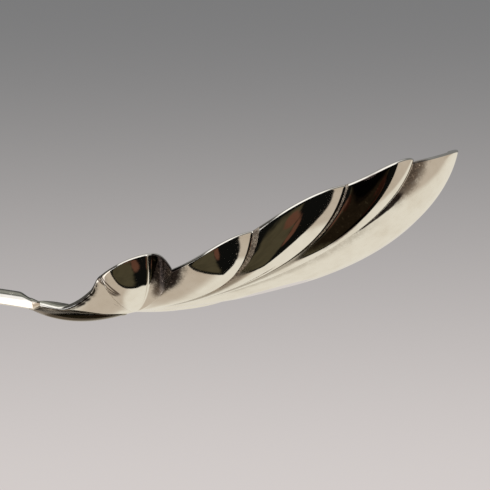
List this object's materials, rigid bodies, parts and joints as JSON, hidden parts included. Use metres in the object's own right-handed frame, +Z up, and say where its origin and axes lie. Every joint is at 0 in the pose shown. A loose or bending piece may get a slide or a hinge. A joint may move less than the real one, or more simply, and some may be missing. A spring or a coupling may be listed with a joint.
{
  "type": "teaspoon",
  "caption": "Polished silver teaspoon with a fluted scallop-shell bowl, eared neck, soldered heel drop and a plain arched handle.",
  "frame": {"origin": "on the table under the middle of the spoon's outline, with the spoon lying at rest on its bowl and its handle's end", "axes": "+X from the handle's end to the bowl's tip, +Y across the bowl, +Z up, the bowl's open side up"},
  "size_m": [0.14, 0.0262, 0.0126],
  "materials": {
    "bowl_silver": "polished silver sheet with dark tarnish left in the creases",
    "handle_silver": "polished silver with fine wear scratches",
    "drop_silver": "polished silver, tarnished brown where it meets the bowl",
    "silver_solder": "satin hard solder, a little pinker than the silver"
  },
  "bodies": {
    "root": {"bowl": "bowl_silver", "handle": "handle_silver", "heel_drop": "drop_silver", "neck_solder": "silver_solder", "heel_solder": "silver_solder"}
  },
  "joints": []
}
